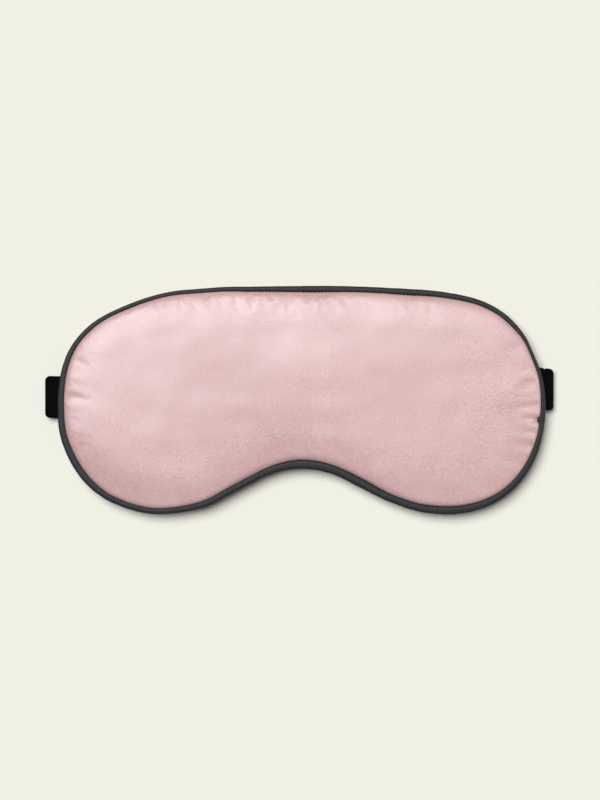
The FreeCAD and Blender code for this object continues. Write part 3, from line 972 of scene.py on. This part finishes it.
# Heights of the strap's layers under the mask: left half, right half, and the hem over the loop.
LEFT_LEVEL = 2.2
RIGHT_LEVEL = 1.35
LOOP_TOP = 3.8
HEM_LEVEL = 3.05

# The loop round the slider's centre bar, and where the right half's free tail ends.
LOOP_X = 31.2
LOOP_RADIUS = 0.8
LOOP_MIDDLE_Z = 3.0
TAIL_X = -84.0


def bend(centre_x, y, middle_z, radius, first, last):
    """Bend of the strap's middle line: 90 degrees is its top, 0 its right and -90 its bottom."""
    turns = np.radians(np.linspace(first, last, 14))
    return [(centre_x + radius * math.cos(t), y, middle_z + radius * math.sin(t)) for t in turns]


def fold_arc(side, centre_x, y, first, last):
    """Part of the strap's fold at an end of the mask: 90 degrees is its top, 0 its outside."""
    points = bend(centre_x, y, FOLD_MIDDLE_Z, FOLD_RADIUS, first, last)
    return [(side * x, y, z) for x, y, z in points]


def strap_end(side_name, side):
    """Sewn end: out under the piping and over the top of the fold."""
    centre_x, fold_y = FOLDS[side]
    run = [
        (side * END_INNER_X, fold_y, SEWN_Z), (side * 97.5, fold_y, SEWN_Z),
        (side * 100.5, fold_y, OVER_FOLD_Z + 0.1), (side * 103.5, fold_y, OVER_FOLD_Z),
        (side * centre_x, fold_y, OVER_FOLD_Z),
    ]
    path = np.concatenate([rounded(run), fold_arc(side, centre_x, fold_y, 90, 0)[1:]])
    tip = centre_x + FOLD_RADIUS
    piece = band(f"strap_{side_name}_end_band", resample(path, 0.3), 0.0, 1.0 + side, tip=tip)
    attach(piece, "mask")
    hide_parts(f"strap_{side_name}_end")


def strap_fold_side(side_name, side, peek, level):
    """From the outside of the fold, back under the mask as far as JOIN_X. peek is how far it drifts
    in Y on the way, level the height it settles at."""
    centre_x, fold_y = FOLDS[side]
    arc = fold_arc(side, centre_x, fold_y, 0, -90)
    run = [
        arc[-1], (side * 106.0, fold_y + peek * 0.5, 0.4), (side * 103.0, fold_y + peek, 0.7),
        (side * 98.5, fold_y + peek, level), (side * 92.0, STRAP_Y, level),
        (side * JOIN_X, STRAP_Y, level),
    ]
    path = np.concatenate([arc[:-1], rounded(run)])
    tip = centre_x + FOLD_RADIUS
    piece = band(f"strap_{side_name}_fold_band", resample(path, 0.4), 20.0, 1.0 + side, tip=tip)
    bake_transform(piece)
    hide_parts(f"strap_{side_name}_side")


def strap_left_rear():
    """Left half behind the head, its end looped round the slider's centre bar and sewn down."""
    loop = bend(LOOP_X, STRAP_Y, LOOP_MIDDLE_Z, LOOP_RADIUS, -90, 90)
    hem = [
        loop[-1], (28.8, STRAP_Y, LOOP_TOP), (26.0, STRAP_Y, HEM_LEVEL), (12.0, STRAP_Y, HEM_LEVEL),
    ]
    straight = [(-JOIN_X, STRAP_Y, LEFT_LEVEL), (LOOP_X - 0.1, STRAP_Y, LEFT_LEVEL)]
    path = np.concatenate([straight, loop[1:], rounded(hem)[1:]])
    piece = band("strap_left_rear_band", resample(path, 0.5), 60.0, 3.0)
    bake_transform(piece)
    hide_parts("strap_left_rear")


def strap_right_rear():
    """Right half behind the head, through the slider to its free tail."""
    path = resample([(JOIN_X, STRAP_Y, RIGHT_LEVEL), (TAIL_X, STRAP_Y, RIGHT_LEVEL)], 0.5)
    piece = band("strap_right_rear_band", path, 60.0, 4.0)
    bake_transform(piece)
    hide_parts("strap_right_rear")


# ---- stitches and slider

STITCHES_ACROSS = 6
STITCH_SPACING = 3.0
STITCH_LENGTH = 2.0
STITCH_RINGS = 9
STITCH_AROUND = 8
STITCH_DIP = 0.12


def stitch(middle, along, vertices, faces):
    """Adds one stitch: a short plump thread that dips into the strap at both ends."""
    rings, around = STITCH_RINGS, STITCH_AROUND
    first = len(vertices)
    along = np.array(along, float)
    sideways = np.array([-along[1], along[0], 0])
    for ring in range(rings):
        share = 2 * ring / (rings - 1) - 1
        radius = THREAD_RADIUS * math.sqrt(max(1 - share**6, 0.05))
        dip = -STITCH_DIP * share**4
        for step in range(around):
            turn = 2 * math.pi * step / around
            offset = sideways * math.cos(turn) * radius * 1.3
            offset = offset + np.array([0, 0, math.sin(turn) * radius + dip])
            vertices.append(middle + along * share * STITCH_LENGTH / 2 + offset)
    for face in ring_faces(rings, around):
        faces.append(tuple(first + corner for corner in face[::-1]))
    faces.append(tuple(range(first, first + around))[::-1])
    faces.append(tuple(range(first + (rings - 1) * around, first + rings * around)))


def stitch_rows(node, body, along, below, middle_y=STRAP_Y):
    """Rows of stitches across the strap in place of a CAD node; below turns them upside down."""
    low, high = (np.array(corner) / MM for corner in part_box(node))
    edge = THREAD_RADIUS if along[1] else STITCH_LENGTH / 2
    rows = sorted({round(low[0] + edge, 3), round(high[0] - edge, 3)})
    vertices = []
    faces = []
    for x in rows:
        for number in range(STITCHES_ACROSS):
            y = middle_y + (number - (STITCHES_ACROSS - 1) / 2) * STITCH_SPACING
            slant = 0.08 * noise.noise(Vector((x, y, 3)))
            turned = (along[0] + slant * along[1], along[1] + slant * along[0], 0)
            stitch(np.array([x, y, 0]), turned, vertices, faces)
    vertices = np.array(vertices)
    if below:
        vertices[:, 2] *= -1
        faces = [face[::-1] for face in faces]
    vertices[:, 2] += high[2] if below else low[2]
    piece = new_object(f"{node}_threads", vertices, faces, BLACK_THREAD)
    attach(piece, body)
    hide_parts(node)


def all_stitches():
    across = (0, 1)
    stitch_rows("bartack_left", "mask", across, True, FOLDS[-1][1])
    stitch_rows("bartack_right", "mask", across, True, FOLDS[1][1])
    stitch_rows("slider_loop_stitching", "strap_left_rear", across, False)
    stitch_rows("tail_stitching", "strap_right_rear", (1, 0), True)


SLIDER_ROUNDING = 0.28


def slider():
    """The moulded slider with its edges rounded as a mould leaves them."""
    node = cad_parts["strap_slider"]
    mesh = node.data.copy()
    piece = bpy.data.objects.new("moulded_slider", mesh)
    piece.matrix_world = node.matrix_world
    bpy.context.collection.objects.link(piece)
    mesh.materials.clear()
    mesh.materials.append(PLASTIC)
    shape = bmesh.new()
    shape.from_mesh(mesh)
    bmesh.ops.remove_doubles(shape, verts=shape.verts, dist=0.002 * MM)
    flat = math.radians(3)
    bmesh.ops.dissolve_limit(shape, angle_limit=flat, verts=shape.verts, edges=shape.edges)
    shape.to_mesh(mesh)
    shape.free()
    bevel = piece.modifiers.new("Rounded", "BEVEL")
    bevel.width = SLIDER_ROUNDING * MM
    bevel.segments = 3
    bevel.limit_method = "ANGLE"
    bevel.angle_limit = math.radians(35)
    apply_modifiers(piece)
    piece.data.shade_smooth()
    piece.modifiers.new("Even", "WEIGHTED_NORMAL").keep_sharp = True
    apply_modifiers(piece)
    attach(piece, "strap_left_rear")
    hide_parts("strap_slider")


def finish_plain_nodes():
    """The CAD node whose own shape is right, with its material."""
    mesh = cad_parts["blackout_liner"].data
    mesh.materials.clear()
    mesh.materials.append(LINING)


# ---- stage, light and camera

# The floor's drop and half width, then the camera: height of the view at the seam, lens, sensor
# and the view's middle.
FLOOR_DROP = 0.3
FLOOR_HALF = 3000
VIEW_HEIGHT = 343.9
LENS = 85.0
SENSOR = 36.0
VIEW_CENTRE_X = -0.75


def stage():
    quarters = ((-1, -1), (1, -1), (1, 1), (-1, 1))
    corners = [(x * FLOOR_HALF, y * FLOOR_HALF, -FLOOR_DROP) for x, y in quarters]
    floor = new_object("floor", corners, [(0, 1, 2, 3)], pale_floor(), smooth=False)
    return floor


def sun(name, towards, elevation, spread, strength):
    """Far soft light: towards is the compass direction it comes from, in degrees from +X."""
    lamp = bpy.data.lights.new(name, "SUN")
    lamp.energy = strength
    lamp.angle = math.radians(spread)
    holder = bpy.data.objects.new(name, lamp)
    bpy.context.collection.objects.link(holder)
    around = math.radians(towards)
    up = math.radians(elevation)
    source = Vector((math.cos(up) * math.cos(around), math.cos(up) * math.sin(around), math.sin(up)))
    holder.rotation_euler = source.to_track_quat("Z", "Y").to_euler()
    holder.location = source
    return holder


def lights(floor):
    """A soft key from the brow side that casts the shadow, and fills that leave the floor alone."""
    world = bpy.data.worlds.new("studio")
    bpy.context.scene.world = world
    world.use_nodes = True
    background = world.node_tree.nodes["Background"]
    background.inputs["Color"].default_value = (1, 1, 1, 1)
    background.inputs["Strength"].default_value = 0.12
    sun("key", 134, 64, 43, 3.08)
    fills = (
        sun("brow", 42, 50, 36, 0.95),
        sun("left", 180, 24, 22, 0.05),
        sun("right", 0, 24, 22, 0.7),
        sun("lobes", -80, 50, 50, 0.5),
    )
    left_out = bpy.data.collections.new("unlit_by_fills")
    left_out.objects.link(floor)
    left_out.collection_objects[0].light_linking.link_state = "EXCLUDE"
    for fill in fills:
        fill.data.use_shadow = False
        fill.light_linking.receiver_collection = left_out


def camera():
    """Looks straight down on the mask."""
    lens = bpy.data.cameras.new("camera")
    lens.lens = LENS
    lens.sensor_width = SENSOR
    holder = bpy.data.objects.new("camera", lens)
    bpy.context.collection.objects.link(holder)
    distance = VIEW_HEIGHT * LENS / SENSOR
    holder.location = (VIEW_CENTRE_X * MM, 0, (SEAM_Z + distance) * MM)
    bpy.context.scene.camera = holder


front_cover()
back_cover()
filling("front_wadding", "front_filling", front=True)
filling("back_wadding", "back_filling", front=False)
piping()
piping_cord()
seam_thread()
strap_end("left", -1)
strap_end("right", 1)
strap_fold_side("left", -1, -0.7, LEFT_LEVEL)
strap_fold_side("right", 1, 0.6, RIGHT_LEVEL)
strap_left_rear()
strap_right_rear()
all_stitches()
slider()
finish_plain_nodes()
lights(stage())
camera()
bpy.context.scene.view_settings.view_transform = "Standard"
